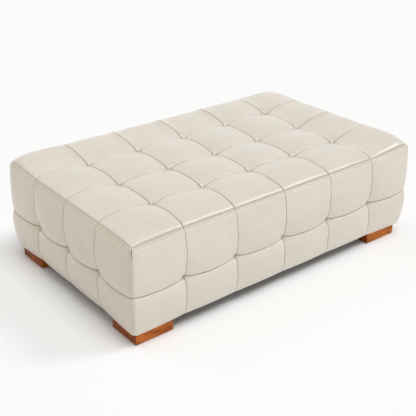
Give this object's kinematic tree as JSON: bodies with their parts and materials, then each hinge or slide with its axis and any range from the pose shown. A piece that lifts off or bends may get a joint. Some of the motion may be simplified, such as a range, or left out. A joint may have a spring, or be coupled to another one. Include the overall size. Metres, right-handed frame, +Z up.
{
  "type": "tufted pouf",
  "caption": "Low rectangular leather pouf or footstool with blind-tufted crowned squares on top and sides, standing on solid wooden block feet.",
  "frame": {"origin": "on the floor under the middle of the pouf", "axes": "+X along the long side, +Y from the front side to the back side, +Z up"},
  "size_m": [1.4178, 0.8778, 0.4441],
  "materials": {
    "cover_leather": "satin, fine pebbled grain",
    "foam": "matte open foam",
    "side_board": "raw hardboard",
    "frame_wood": "raw planed wood",
    "foot_wood": "stained and satin lacquered",
    "tie_tape": "woven tape",
    "dust_cloth": "matte spunbond cloth",
    "felt": "felt",
    "fastener_steel": "zinc plated"
  },
  "bodies": {
    "root": {"back_board": "side_board", "back_cover": "cover_leather", "back_foam": "foam", "bottom_rail_back": "frame_wood", "bottom_rail_front": "frame_wood", "bottom_rail_left": "frame_wood", "bottom_rail_right": "frame_wood", "bottom_stretcher": "frame_wood", "corner_plate_back_left": "frame_wood", "corner_plate_back_right": "frame_wood", "corner_plate_front_left": "frame_wood", "corner_plate_front_right": "frame_wood", "corner_post_back_left": "frame_wood", "corner_post_back_right": "frame_wood", "corner_post_front_left": "frame_wood", "corner_post_front_right": "frame_wood", "deck_slat_1": "frame_wood", "deck_slat_2": "frame_wood", "deck_slat_3": "frame_wood", "deck_slat_4": "frame_wood", "deck_slat_5": "frame_wood", "deck_slat_6": "frame_wood", "dust_cover": "dust_cloth", "foot_back_left": "foot_wood", "foot_back_right": "foot_wood", "foot_bolts": "fastener_steel", "foot_front_left": "foot_wood", "foot_front_right": "foot_wood", "foot_glides": "felt", "foot_nuts": "fastener_steel", "front_board": "side_board", "front_cover": "cover_leather", "front_foam": "foam", "joist_back": "frame_wood", "joist_front": "frame_wood", "left_board": "side_board", "left_cover": "cover_leather", "left_foam": "foam", "right_board": "side_board", "right_cover": "cover_leather", "right_foam": "foam", "side_post_back_left": "frame_wood", "side_post_back_right": "frame_wood", "side_post_front_left": "frame_wood", "side_post_front_right": "frame_wood", "side_ties": "tie_tape", "side_toggles": "frame_wood", "top_cover": "cover_leather", "top_foam": "foam", "top_rail_back": "frame_wood", "top_rail_front": "frame_wood", "top_rail_left": "frame_wood", "top_rail_right": "frame_wood", "top_ties": "tie_tape", "top_toggles": "frame_wood"}
  },
  "joints": []
}
